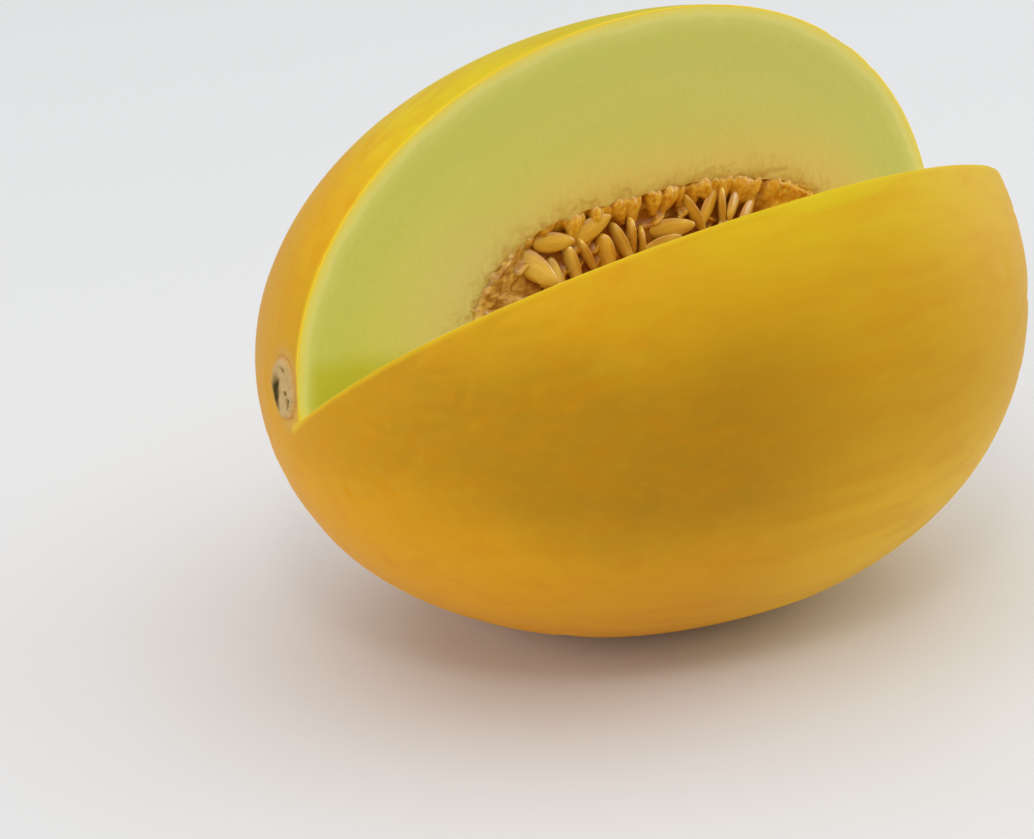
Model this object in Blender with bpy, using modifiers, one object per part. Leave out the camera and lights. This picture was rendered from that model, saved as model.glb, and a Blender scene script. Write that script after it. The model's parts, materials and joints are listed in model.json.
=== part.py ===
"""A canary melon with a wedge cut out of it, lying on its side. Metres, +Z up.

The fruit's axis lies along X, with the stem end at -X and the blossom end at +X. The wedge
was cut from above, a little towards -Y, so its two cut faces meet in a line near the axis.
Positions inside the fruit are measured from its axis, which an empty holds above the ground.
"""
import math
import random

import bmesh
import bpy
from mathutils import Matrix, Vector

# The whole fruit's outline, turned about its axis
HALF_LENGTH = 0.105
RADIUS = 0.0804
FULLNESS = 0.070  # how much fuller the blossom end is than the stem end
STEM_BLUNTNESS = 2.08
BLOSSOM_BLUNTNESS = 2.10
ROUNDNESS = 2.20
REST_FLAT_DEPTH = 0.0014

# The two knife cuts: angles up from -Y, and where their meeting line leaves each end, as (y, z)
NEAR_CUT = math.radians(41.5)
FAR_CUT = math.radians(98.8)
TIP_AT_STEM = (-0.0054, -0.0006)
TIP_AT_BLOSSOM = (0.0100, -0.0027)

# The seed cavity, turned about the same axis
CAVITY_CENTRE = 0.008
CAVITY_RADIUS = 0.0333
CAVITY_TO_STEM = 0.060
CAVITY_TO_BLOSSOM = 0.068
CAVITY_STEM_BLUNTNESS = 3.1
CAVITY_BLOSSOM_BLUNTNESS = 2.8

# The corky stem scar, in a shallow dip just off the stem end's centre. The dip's floor and the
# top of the ring in it run through (share of the radius, share of the depth) below the skin.
SCAR_OFFSET = (0.0044, 0.0046)
SCAR_RADIUS = 0.0068
SCAR_LIP = 0.0014
SCAR_DIP_DEPTH = 0.0011
SCAR_DIP_FLOOR = ((1.0, 0.7), (0.6, 1.0), (0.0, 1.0))
SCAR_RING_TOP = ((0.0, 0.6), (0.45, 0.45), (0.62, 0.15), (0.78, 0.15), (0.95, 0.6))
SCAR_RING_ROOT = 0.0041  # how deep in the flesh the ring starts
SCAR_STEPS = 24

# The blossom scar's dimple, given in the same way
BLOSSOM_SCAR_RADIUS = 0.0045
BLOSSOM_SCAR_DEPTH = 0.0004
BLOSSOM_SCAR_FLOOR = ((0.6, 1.0), (0.0, 1.5))
BLOSSOM_SCAR_STEPS = 16

# The pulp and seeds in the cavity
GAP = 0.0003  # between the pulp and the cavity wall
PULP_RECESS = 0.0040  # how far the pulp's surface lies behind each cut
SEED_LENGTH = 0.0125
SEED_WIDTH = 0.0060
SEED_THICKNESS = 0.0026
SEED_TAPER = 0.35
SEED_ROW_STEP = 0.0070
SEED_STEP_ALONG = 0.0120
SEED_JITTER = 0.0010
SEED_STAND = 0.0007  # how far a seed's middle stands out of the pulp
SEED_SPIN, SEED_SPIN_SPREAD = 0.5, 0.6
SEED_PITCH_SPREAD = 0.15
SEED_ROLLS = (0, 0, 0.5, -0.5, 1.3)
SEED_DRAW = 11
PULL_STEPS = 8  # a seed that meets the wall is drawn in by steps towards the middle
PULL_SHARE = 0.04
PULL_MIDDLE = 0.010  # how far out from the meeting line that middle lies

TURN_STEPS = 64
OUTLINE_RINGS = 30
CAVITY_STEPS = 32
CAVITY_RINGS = 16
CUTTER_SIZE = 0.30


def clear_scene():
    for old in list(bpy.data.objects):
        bpy.data.objects.remove(old, do_unlink=True)


def new_collection(name):
    collection = bpy.data.collections.new(name)
    bpy.context.scene.collection.children.link(collection)
    return collection


def new_material(name, colour, roughness):
    material = bpy.data.materials.new(name)
    material.use_nodes = True
    shader = material.node_tree.nodes["Principled BSDF"]
    shader.inputs["Base Color"].default_value = (*colour, 1)
    shader.inputs["Roughness"].default_value = roughness
    shader.inputs["Metallic"].default_value = 0
    return material


def superellipse(share, bluntness):
    """Radius, as a share of the largest, at a share of the way from the middle to an end."""
    return max(0.0, 1 - abs(share) ** bluntness) ** (1 / ROUNDNESS)


def outline_radius(x):
    """Radius of the whole fruit at x along its axis."""
    share = x / HALF_LENGTH
    bluntness = STEM_BLUNTNESS if share < 0 else BLOSSOM_BLUNTNESS
    return RADIUS * superellipse(share, bluntness) * (1 + FULLNESS * share)


def cavity_radius(x, inset=0.0):
    """Radius of the seed cavity at x, or of the pulp in it with an inset; zero beyond its ends."""
    offset = x - CAVITY_CENTRE
    if offset < 0:
        share, bluntness = -offset / (CAVITY_TO_STEM - inset), CAVITY_STEM_BLUNTNESS
    else:
        share, bluntness = offset / (CAVITY_TO_BLOSSOM - inset), CAVITY_BLOSSOM_BLUNTNESS
    return (CAVITY_RADIUS - inset) * superellipse(share, bluntness)


def spaced(low, high, count):
    """Places from high to low, closer together towards both ends."""
    middle = (low + high) / 2
    return [middle + (high - low) / 2 * math.cos(math.pi * i / count) for i in range(count + 1)]


def widest_place():
    """Where along its axis the fruit is widest."""
    return max((HALF_LENGTH * i / 1000 for i in range(-500, 500)), key=outline_radius)


def add_object(name, mesh, collection, parent):
    piece = bpy.data.objects.new(name, mesh)
    collection.objects.link(piece)
    piece.parent = parent
    return piece


def as_cutter(piece):
    piece.hide_render = True
    piece.display_type = "WIRE"
    return piece


def turned(name, profile, steps, collection, parent):
    """A solid turned about its own Z from (radius, height) points, given from the top down."""
    mesh = bpy.data.meshes.new(name)
    edges = [(i, i + 1) for i in range(len(profile) - 1)]
    mesh.from_pydata([(radius, 0, height) for radius, height in profile], edges, [])
    piece = add_object(name, mesh, collection, parent)
    screw = piece.modifiers.new("turn", "SCREW")
    screw.axis = "Z"
    screw.angle = math.tau
    screw.steps = screw.render_steps = steps
    screw.use_merge_vertices = True
    screw.merge_threshold = 0.00001
    screw.use_smooth_shade = True
    return piece


def turned_along_x(name, radius_at, low, high, steps, rings, collection, parent):
    """A solid turned about the fruit's axis, from its radius at each place along X."""
    places = spaced(low, high, rings)
    profile = [(0.0, high)] + [(radius_at(x), x) for x in places[1:-1]] + [(0.0, low)]
    piece = turned(name, profile, steps, collection, parent)
    piece.rotation_euler = (0, math.pi / 2, 0)
    return piece


def block(name, size, matrix, collection, parent):
    """A cube whose placement within its parent is a matrix."""
    mesh = bpy.data.meshes.new(name)
    bm = bmesh.new()
    bmesh.ops.create_cube(bm, size=size)
    bm.to_mesh(mesh)
    bm.free()
    piece = add_object(name, mesh, collection, parent)
    piece.matrix_local = matrix
    return as_cutter(piece)


def combine(piece, other, operation):
    """Add a Boolean that keeps the other solid's material where its surface is left."""
    boolean = piece.modifiers.new(f"{operation.lower()}_{other.name}", "BOOLEAN")
    boolean.operation = operation
    boolean.object = other
    boolean.material_mode = "TRANSFER"
    as_cutter(other)


def apply_modifiers(piece):
    bpy.context.view_layer.update()
    evaluated = piece.evaluated_get(bpy.context.evaluated_depsgraph_get())
    piece.data = bpy.data.meshes.new_from_object(evaluated)
    piece.modifiers.clear()


def tip_point(x):
    """The point of the line where the two cuts meet, at x."""
    share = (x + HALF_LENGTH) / (2 * HALF_LENGTH)
    stem = Vector((x, *TIP_AT_STEM))
    blossom = Vector((x, *TIP_AT_BLOSSOM))
    return stem.lerp(blossom, share)


def cut_frame(angle):
    """A cut's placement: X along the meeting line, Y outwards in the cut, Z towards -Y or down."""
    along = (tip_point(HALF_LENGTH) - tip_point(-HALF_LENGTH)).normalized()
    outwards = Vector((0, -math.cos(angle), math.sin(angle)))
    square = along.cross(outwards).normalized()
    frame = Matrix((along, square.cross(along), square)).transposed().to_4x4()
    frame.translation = tip_point(0)
    return frame


def wedge(name, recess, collection, parent):
    """What the two cuts take away, with both faces moved back into the fruit by the recess."""
    shift = CUTTER_SIZE / 2 - recess
    far_side = cut_frame(FAR_CUT) @ Matrix.Translation((0, 0, shift))
    near_side = cut_frame(NEAR_CUT) @ Matrix.Translation((0, 0, -shift))
    piece = block(name, CUTTER_SIZE, far_side, collection, parent)
    other = block(f"{name}_near_side", CUTTER_SIZE, near_side, collection, parent)
    combine(piece, other, "INTERSECT")
    return piece


def facing_out(place):
    """Turn a piece's own Z to face out of the stem end at a place on it."""
    place = Vector(place)
    step = 0.0001
    slope = (outline_radius(place.x + step) - outline_radius(place.x - step)) / (2 * step)
    sideways = Vector((0, place.y, place.z)).normalized()
    outwards = (sideways - slope * Vector((1, 0, 0))).normalized()
    return Matrix.Translation(place) @ outwards.to_track_quat("Z", "Y").to_matrix().to_4x4()


def place_at_radius(radius):
    """How far along the stem half the fruit has this radius, by halving."""
    low, high = -HALF_LENGTH, 0.0
    for _ in range(40):
        middle = (low + high) / 2
        if outline_radius(middle) < radius:
            low = middle
        else:
            high = middle
    return low


def add_stem_scar(body, cutters, parent, cork):
    """A shallow dip in the stem end with a corky ring in it, where the stalk came away.

    The dip's cutter ends above in a dome, which clears the curved skin over it.
    """
    off_centre = math.hypot(*SCAR_OFFSET)
    frame = facing_out((place_at_radius(off_centre), *SCAR_OFFSET))
    rim = SCAR_RADIUS + SCAR_LIP
    dome = [(0, rim), (rim * 0.8, rim * 0.6), (rim, 0)]
    floor = [(SCAR_RADIUS * out, -SCAR_DIP_DEPTH * down) for out, down in SCAR_DIP_FLOOR]
    dip = turned("scar_dip", dome + floor, SCAR_STEPS, cutters, parent)
    dip.matrix_local = frame
    combine(body, dip, "DIFFERENCE")
    top = [(SCAR_RADIUS * out, -SCAR_DIP_DEPTH * down) for out, down in SCAR_RING_TOP]
    root = [(top[-1][0], -SCAR_RING_ROOT), (0, -SCAR_RING_ROOT)]
    ring = turned("scar_ring", top + root, SCAR_STEPS, cutters, parent)
    ring.matrix_local = frame
    ring.data.materials.append(cork)
    combine(body, ring, "UNION")


def add_blossom_scar(body, cutters, parent):
    """A small round dimple where the flower was."""
    radius = BLOSSOM_SCAR_RADIUS
    above = [(0, radius), (radius, radius * 0.5)]
    floor = [(radius * out, -BLOSSOM_SCAR_DEPTH * down) for out, down in BLOSSOM_SCAR_FLOOR]
    dimple = turned("blossom_dimple", above + floor, BLOSSOM_SCAR_STEPS, cutters, parent)
    dimple.matrix_local = (
        Matrix.Translation((HALF_LENGTH, 0, 0)) @ Matrix.Rotation(math.pi / 2, 4, "Y"))
    combine(body, dimple, "DIFFERENCE")


def build_body(parts, cutters, parent, axis_height):
    """Rind and flesh, grown as one piece, with the notch, the cavity, both scars and the flat."""
    rind = new_material("melon_rind", (0.72, 0.44, 0.03), 0.38)
    flesh = new_material("melon_flesh", (0.56, 0.62, 0.27), 0.30)
    cork = new_material("melon_cork", (0.42, 0.34, 0.20), 0.85)
    body = turned_along_x("melon_body", outline_radius, -HALF_LENGTH, HALF_LENGTH, TURN_STEPS,
                          OUTLINE_RINGS, parts, parent)
    body.data.materials.append(rind)

    notch = wedge("notch", 0.0, cutters, parent)
    notch.data.materials.append(flesh)
    combine(body, notch, "DIFFERENCE")

    low = CAVITY_CENTRE - CAVITY_TO_STEM
    high = CAVITY_CENTRE + CAVITY_TO_BLOSSOM
    cavity = turned_along_x("cavity", cavity_radius, low, high, CAVITY_STEPS, CAVITY_RINGS,
                            cutters, parent)
    cavity.data.materials.append(flesh)
    combine(body, cavity, "DIFFERENCE")

    ground = Matrix.Translation((0, 0, -axis_height - CUTTER_SIZE / 2))
    under = block("under_rest_flat", CUTTER_SIZE, ground, cutters, parent)
    under.data.materials.append(rind)
    combine(body, under, "DIFFERENCE")

    add_stem_scar(body, cutters, parent, cork)
    add_blossom_scar(body, cutters, parent)
    return body


def seed_mesh():
    """A flat drop with few sides: blunt at one end and pointed at the other."""
    mesh = bpy.data.meshes.new("seed")
    bm = bmesh.new()
    bmesh.ops.create_uvsphere(bm, u_segments=6, v_segments=3, radius=0.5)
    bmesh.ops.rotate(bm, verts=bm.verts, matrix=Matrix.Rotation(math.pi / 2, 3, "Y"))
    for vertex in bm.verts:
        narrowing = 1 + SEED_TAPER * (0.5 - 2 * vertex.co.x)
        vertex.co = Vector((vertex.co.x * SEED_LENGTH, vertex.co.y * SEED_WIDTH * narrowing,
                            vertex.co.z * SEED_THICKNESS))
    bm.to_mesh(mesh)
    bm.free()
    return mesh


def keep_largest_body(piece):
    """Fill the small hollows that joining seals and drop loose scraps: only the main skin stays."""
    bm = bmesh.new()
    bm.from_mesh(piece.data)
    left = set(bm.verts)
    bodies = []
    while left:
        body, front = set(), [left.pop()]
        while front:
            vertex = front.pop()
            body.add(vertex)
            for edge in vertex.link_edges:
                neighbour = edge.other_vert(vertex)
                if neighbour in left:
                    left.remove(neighbour)
                    front.append(neighbour)
        bodies.append(body)
    main_body = max(bodies, key=len)
    scraps = [vertex for body in bodies if body is not main_body for vertex in body]
    bmesh.ops.delete(bm, geom=scraps, context="VERTS")
    bm.to_mesh(piece.data)
    bm.free()


def clears_wall(mesh, matrix):
    """Whether a seed lies inside the cavity, clear of its wall."""
    corners = [matrix @ vertex.co for vertex in mesh.vertices]
    return all(math.hypot(c.y, c.z) < cavity_radius(c.x, 2 * GAP) for c in corners)


def seed_places(mesh):
    """Uneven rows over both cut faces of the pulp, each seed drawn in until it clears the wall."""
    draw = random.Random(SEED_DRAW)
    half_opening = (FAR_CUT - NEAR_CUT) / 2
    tip_setback = PULP_RECESS / math.tan(half_opening)
    low = CAVITY_CENTRE - CAVITY_TO_STEM
    high = CAVITY_CENTRE + CAVITY_TO_BLOSSOM
    for angle, inwards in ((FAR_CUT, -1), (NEAR_CUT, 1)):
        frame = cut_frame(angle)
        level = inwards * (PULP_RECESS - SEED_STAND)
        rows = int((CAVITY_RADIUS + tip_setback) / SEED_ROW_STEP)
        for row in range(rows):
            out = -tip_setback + SEED_ROW_STEP * (row + 0.8)
            count = int((high - low) / SEED_STEP_ALONG)
            for i in range(count):
                along = low + SEED_STEP_ALONG * (i + 0.5 + 0.5 * (row % 2))
                centre = Vector((along + draw.uniform(-1, 1) * SEED_JITTER,
                                 out + draw.uniform(-1, 1) * SEED_JITTER, level))
                spin = Matrix.Rotation(draw.gauss(SEED_SPIN, SEED_SPIN_SPREAD), 4, "Z")
                pitch = Matrix.Rotation(draw.gauss(0, SEED_PITCH_SPREAD), 4, "Y")
                roll = Matrix.Rotation(draw.choice(SEED_ROLLS), 4, "X")
                middle = Vector((CAVITY_CENTRE, PULL_MIDDLE, level))
                if cavity_radius(along) < out - SEED_LENGTH / 2:
                    continue
                for pull in range(PULL_STEPS):
                    drawn_in = centre.lerp(middle, PULL_SHARE * pull)
                    matrix = frame @ Matrix.Translation(drawn_in) @ spin @ pitch @ roll
                    if clears_wall(mesh, matrix):
                        yield matrix
                        break


def build_seed_cluster(parts, cutters, parent):
    """The pulp that fills the cavity up to just behind the cuts, and the seeds in its faces."""
    pulp = new_material("melon_seeds", (0.62, 0.40, 0.14), 0.35)
    low = CAVITY_CENTRE - CAVITY_TO_STEM + GAP
    high = CAVITY_CENTRE + CAVITY_TO_BLOSSOM - GAP
    cluster = turned_along_x("seed_cluster", lambda x: cavity_radius(x, GAP), low, high,
                             CAVITY_STEPS, CAVITY_RINGS, parts, parent)
    cluster.data.materials.append(pulp)
    combine(cluster, wedge("pulp_notch", PULP_RECESS, cutters, parent), "DIFFERENCE")

    seeds = new_collection("seeds_to_join")
    mesh = seed_mesh()
    for i, matrix in enumerate(list(seed_places(mesh))):
        seed = add_object(f"seed_{i}", mesh, seeds, parent)
        seed.matrix_local = matrix
        as_cutter(seed)
    join = cluster.modifiers.new("join_seeds", "BOOLEAN")
    join.operation = "UNION"
    join.operand_type = "COLLECTION"
    join.collection = seeds
    apply_modifiers(cluster)
    keep_largest_body(cluster)
    for seed in list(seeds.objects):
        bpy.data.objects.remove(seed, do_unlink=True)
    bpy.data.collections.remove(seeds)
    return cluster


def main():
    clear_scene()
    parts = new_collection("canary_melon")
    cutters = new_collection("cutters")
    axis_height = outline_radius(widest_place()) - REST_FLAT_DEPTH
    axis = bpy.data.objects.new("fruit_axis", None)
    parts.objects.link(axis)
    axis.location = (0, 0, axis_height)
    bpy.context.view_layer.update()
    build_body(parts, cutters, axis, axis_height)
    build_seed_cluster(parts, cutters, axis)


main()
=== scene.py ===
"""The looks of a cut canary melon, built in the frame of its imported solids. Metres, +Z up.

Every surface of the fruit is a grid around one point on the line where the two cuts meet, so
the rind, the two cut faces and the cavity wall share their edges and close into one skin.
The pulp is made the same way around a point set further back, and the seeds lie in its faces.
"""
import json
import math
import random

import bmesh
import bpy
import numpy as np
from mathutils import Matrix, Vector, noise

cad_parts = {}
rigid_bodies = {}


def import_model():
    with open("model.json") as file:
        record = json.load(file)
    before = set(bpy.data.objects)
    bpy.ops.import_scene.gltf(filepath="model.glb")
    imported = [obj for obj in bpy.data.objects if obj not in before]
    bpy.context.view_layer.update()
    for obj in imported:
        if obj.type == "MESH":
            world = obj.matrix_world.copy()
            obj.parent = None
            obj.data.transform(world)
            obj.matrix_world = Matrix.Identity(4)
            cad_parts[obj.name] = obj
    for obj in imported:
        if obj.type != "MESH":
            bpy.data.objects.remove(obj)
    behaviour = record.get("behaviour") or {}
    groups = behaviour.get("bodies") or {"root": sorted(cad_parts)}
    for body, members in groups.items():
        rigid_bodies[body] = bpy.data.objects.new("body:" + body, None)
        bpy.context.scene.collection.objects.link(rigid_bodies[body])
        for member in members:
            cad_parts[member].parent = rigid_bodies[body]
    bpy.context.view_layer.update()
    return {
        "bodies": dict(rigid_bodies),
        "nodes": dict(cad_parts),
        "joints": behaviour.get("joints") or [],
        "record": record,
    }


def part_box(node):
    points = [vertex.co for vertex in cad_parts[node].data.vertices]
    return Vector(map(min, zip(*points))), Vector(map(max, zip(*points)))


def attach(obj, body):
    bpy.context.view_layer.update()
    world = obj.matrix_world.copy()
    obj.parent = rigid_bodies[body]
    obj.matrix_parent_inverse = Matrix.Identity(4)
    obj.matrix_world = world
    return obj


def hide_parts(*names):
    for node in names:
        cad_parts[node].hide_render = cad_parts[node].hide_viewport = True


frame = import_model()

MM = 0.001

# The whole fruit's outline, as in the part
HALF_LENGTH = 0.105
RADIUS = 0.0804
FULLNESS = 0.070
STEM_BLUNTNESS = 2.08
BLOSSOM_BLUNTNESS = 2.10
ROUNDNESS = 2.20
REST_FLAT = 1.4 * MM  # how much of the rind is flattened where it rests
WIDEST_RADIUS = float(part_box("melon_body")[1][1])
AXIS_HEIGHT = WIDEST_RADIUS - REST_FLAT

# The two cuts and the line where they meet, as (y, z) from the axis at each end
NEAR_CUT = math.radians(41.5)
FAR_CUT = math.radians(98.8)
TIP_AT_STEM = (-0.0054, -0.0006)
TIP_AT_BLOSSOM = (0.0100, -0.0027)

# The seed cavity
CAVITY_CENTRE = 0.008
CAVITY_RADIUS = 0.0333
CAVITY_TO_STEM = 0.060
CAVITY_TO_BLOSSOM = 0.068
CAVITY_STEM_BLUNTNESS = 3.1
CAVITY_BLOSSOM_BLUNTNESS = 2.8
PULP_RECESS = 4.0 * MM

# The stem scar, just off the stem end's centre, as (y, z) from the axis
SCAR_OFFSET = (4.4 * MM, 4.6 * MM)
SCAR_RADII = (7.4 * MM, 8.8 * MM)
SCAR_DIP = 1.0 * MM
SCAR_BED = 1.6 * MM  # how much deeper the rind lies under the cork
CORK_DEPTH = 2.4 * MM
SCAR_LIMIT = -0.09  # points with a greater x are never part of the scar
FAR_OUTSIDE = 9.0
# Pits in the cork: place across and up from its middle, and size, in mm
SCAR_PITS = ((-2.6, -3.2, 1.1), (-0.6, -1.2, 0.6), (-3.4, 1.4, 0.5), (0.8, 4.6, 0.6))

BLOSSOM_SCAR = np.array([HALF_LENGTH, 0, AXIS_HEIGHT])

# Seeds, and those that show best: place along and out in the far cut in mm, tilt in the view
# from the front in degrees, turn about their length, how far one end dips away, and size
SEED_SIZE = (12.6 * MM, 5.9 * MM, 2.2 * MM)
SHOWN_SEEDS = (
    (-29.3, 22.2, -36, 4, 8, 1.17), (-22.8, 27.6, 5, 20, 22, 0.95), (-11.0, 28.6, 34, 30, 12, 1.06),
    (-17.4, 20.2, -72, 48, 25, 1.0), (-12.7, 22.0, -62, 66, 35, 0.9), (-6.5, 20.6, -80, 30, 25, 1.0),
    (-1.2, 22.8, -61, 58, 18, 1.03), (5.5, 20.6, -84, 82, 30, 0.9), (2.2, 23.8, -86, 66, 35, 0.9),
    (15.1, 23.2, 10, 38, 8, 1.1), (12.0, 19.6, 24, 55, 25, 1.0), (23.0, 25.6, -58, 62, 20, 1.0),
    (28.6, 27.2, 66, 64, 20, 1.05), (32.6, 25.4, -87, 80, 25, 1.0), (37.0, 26.2, 70, 66, 25, 0.95),
    (33.2, 20.4, 62, 50, 30, 0.9), (41.0, 22.4, 64, 60, 30, 0.9),
)
SHOWN_STRETCH = (-26.0, 43.0)  # the part of the far cut, in mm, that has seeds in it
SHOWN_SEED_DEPTH = 2.6 * MM
SEED_ROWS = 7
SEEDS_IN_ROW = 14
SEED_ROW_START = -56 * MM
SEED_ROW_STEP = 6.0 * MM
SEED_STEP_ALONG = 9.4 * MM
SEED_JITTER = 1.6 * MM
SEED_ROOM = 3.6 * MM  # the least way from a seed's middle to the cavity wall
SEED_SPACING = 6.5 * MM  # the least way from a filling seed to one that shows

# What hangs on the pulp, and how finely it is all run together
LOBE_SPACING = 3.1 * MM
LOBE_ROOT = 2.4 * MM  # how far behind the rim a lobe starts
LOBE_LENGTHS = (4.0, 7.6)  # the least and most, in mm, as in the ranges below
LOBE_RADII = (0.95, 1.65)
LOBE_LEVELS = (0.9, 2.0)
SHORT_LOBES_BELOW = -18 * MM  # lobes are short towards the stem from this x on
STRANDS_ON_CUT = 150
STRAND_ALONG = (-0.052, 0.072)  # in metres, as is the next
STRAND_OUT = (-0.006, 0.036)
STRAND_LEVELS = (2.6, 4.0)
STRAND_LENGTHS = (4, 9)
STRAND_RADII = (0.45, 0.9)
STRAND_WALL_GAP = 1.4 * MM
BARE_FROM = (6 * MM, 15 * MM)  # how far out the pulp is bare, at its stem and blossom ends
SHRED_SPACING = 1.9 * MM
SHRED_ROOT = 4.0 * MM  # how far inside the rim a shred starts
SHRED_RADII = (0.55, 1.0)
PULP_OVERLAP = 0.5 * MM  # how far the pulp reaches into the cavity wall
PULP_VOXEL = 0.62 * MM
PULP_KEPT_SHARE = 0.68  # of the triangles that remeshing makes

# How fine the fruit's grids are
POLAR_STEPS = 240
RIND_COLUMNS = 250
WALL_COLUMNS = 28

CAMERA_PLACE = (-0.4668, -0.6861, 0.3508 + AXIS_HEIGHT)
CAMERA_YAW = math.radians(31.97)
CAMERA_PITCH = math.radians(24.5)
CAMERA_LENS = 120.2


def colour(red, green, blue):
    """A colour given as 0 to 255 in sRGB, in the linear values that shaders take."""
    parts = [value / 255 for value in (red, green, blue)]
    return (*[p / 12.92 if p <= 0.04045 else ((p + 0.055) / 1.055) ** 2.4 for p in parts], 1)


def roughness_at(points, size, seed=0):
    """Smooth noise of about -1 to 1 at each point, with features of the given size."""
    flat = points.reshape(-1, 3) / size + 19.7 * seed
    values = np.fromiter((noise.noise(p) for p in flat), float, len(flat))
    return values.reshape(points.shape[:-1])


def smooth_step(low, high, value):
    share = np.clip((value - low) / (high - low), 0, 1)
    return share * share * (3 - 2 * share)


def outline_field(points):
    """Below zero inside the fruit's outline, zero on it."""
    share = points[..., 0] / HALF_LENGTH
    radius = np.hypot(points[..., 1], points[..., 2] - AXIS_HEIGHT)
    bluntness = np.where(share < 0, STEM_BLUNTNESS, BLOSSOM_BLUNTNESS)
    full = RADIUS * (1 + FULLNESS * share)
    return ((radius / full) ** ROUNDNESS + np.abs(share) ** bluntness) ** (1 / ROUNDNESS) - 1


def cavity_field(points):
    """Below zero inside the seed cavity, zero on its wall."""
    offset = points[..., 0] - CAVITY_CENTRE
    radius = np.hypot(points[..., 1], points[..., 2] - AXIS_HEIGHT)
    share = np.abs(offset) / np.where(offset < 0, CAVITY_TO_STEM, CAVITY_TO_BLOSSOM)
    bluntness = np.where(offset < 0, CAVITY_STEM_BLUNTNESS, CAVITY_BLOSSOM_BLUNTNESS)
    return ((radius / CAVITY_RADIUS) ** ROUNDNESS + share ** bluntness) ** (1 / ROUNDNESS) - 1


def slope_of(field, points):
    step = 0.02 * MM
    parts = []
    for axis in range(3):
        shift = np.zeros(3)
        shift[axis] = step
        parts.append((field(points + shift) - field(points - shift)) / (2 * step))
    return np.stack(parts, -1)


def distance_from(field, points):
    """About how far each point lies outside the surface where the field is zero, in metres."""
    return field(points) / np.linalg.norm(slope_of(field, points), axis=-1)


def reach(field, centre, directions):
    """How far along each direction from the centre the field turns from inside to outside."""
    low = np.zeros(directions.shape[:-1])
    high = np.full(directions.shape[:-1], 0.16)
    for _ in range(40):
        middle = (low + high) / 2
        inside = field(centre + directions * middle[..., None]) < 0
        low = np.where(inside, middle, low)
        high = np.where(inside, high, middle)
    return (low + high) / 2


def tip_point(x):
    """The point of the line where the two cuts meet, at x."""
    share = (x + HALF_LENGTH) / (2 * HALF_LENGTH)
    y = TIP_AT_STEM[0] + (TIP_AT_BLOSSOM[0] - TIP_AT_STEM[0]) * share
    z = TIP_AT_STEM[1] + (TIP_AT_BLOSSOM[1] - TIP_AT_STEM[1]) * share
    return np.array([x, y, AXIS_HEIGHT + z])


def outwards(angle):
    return np.array([0, -math.cos(angle), math.sin(angle)])


ALONG = tip_point(HALF_LENGTH) - tip_point(-HALF_LENGTH)
ALONG /= np.linalg.norm(ALONG)
TIP_MIDDLE = tip_point(0.0)
HALF_OPENING = (FAR_CUT - NEAR_CUT) / 2
INTO_NOTCH = outwards((FAR_CUT + NEAR_CUT) / 2)
PULP_MIDDLE = TIP_MIDDLE - INTO_NOTCH * PULP_RECESS / math.sin(HALF_OPENING)


def cut_normal(angle):
    """Square to a cut, pointing out of the flesh into the notch."""
    normal = np.cross(ALONG, outwards(angle))
    normal /= np.linalg.norm(normal)
    return normal if normal @ INTO_NOTCH > 0 else -normal


def distance_from_tip(points):
    return np.linalg.norm(np.cross(points - TIP_MIDDLE, ALONG), axis=-1)


def fan(angles, polar):
    """Directions in half-planes on the tip line: polar 0 is the blossom end, pi the stem end."""
    out = np.stack([outwards(angle) for angle in angles])
    return np.cos(polar)[:, None, None] * ALONG + np.sin(polar)[:, None, None] * out[None]


class Skin:
    """Grids of points that may share points, made into one closed mesh."""

    def __init__(self):
        self.points = []
        self.count = 0
        self.faces = []
        self.slots = []

    def add(self, points):
        """Adds points and returns their numbers in the same layout."""
        points = np.asarray(points, float)
        number = int(np.prod(points.shape[:-1]))
        self.points.append(points.reshape(-1, 3))
        self.count += number
        return np.arange(self.count - number, self.count).reshape(points.shape[:-1])

    def add_grid(self, index, slot):
        """Adds the faces of a grid of point numbers, leaving out those that have closed up."""
        corners = np.stack([index[:-1, :-1], index[1:, :-1], index[1:, 1:], index[:-1, 1:]], -1)
        for quad in corners.reshape(-1, 4).tolist():
            face = list(dict.fromkeys(quad))
            if len(face) > 2:
                self.faces.append(face)
                self.slots.append(slot)

    def mesh(self, name):
        data = bpy.data.meshes.new(name)
        data.from_pydata(np.concatenate(self.points).tolist(), [], self.faces)
        data.polygons.foreach_set("material_index", self.slots)
        bm = bmesh.new()
        bm.from_mesh(data)
        bmesh.ops.recalc_face_normals(bm, faces=bm.faces)
        bm.to_mesh(data)
        bm.free()
        return data


def closed_rows(skin, grid, first, last):
    """Adds a grid whose first and last rows each close into one point."""
    index = np.empty(grid.shape[:2], int)
    index[1:-1] = skin.add(grid[1:-1])
    index[0] = first
    index[-1] = last
    return index


def face_grid(skin, rows, inner, outer, first, last):
    """Adds a cut face's points between its inner and outer edges, which are already there."""
    index = np.empty((rows.shape[0], rows.shape[1]), int)
    index[:, 0] = inner
    index[:, -1] = outer
    index[1:-1, 1:-1] = skin.add(rows[1:-1, 1:-1])
    index[0] = first
    index[-1] = last
    return index


def shares_by_spacing(places, sizes, count):
    """Shares from 0 to 1 whose spacing follows the sizes given at some places between."""
    steps = np.interp(np.linspace(0, 1, count), places, sizes)
    sums = np.concatenate([[0], np.cumsum(steps)])
    return sums / sums[-1]


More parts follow.
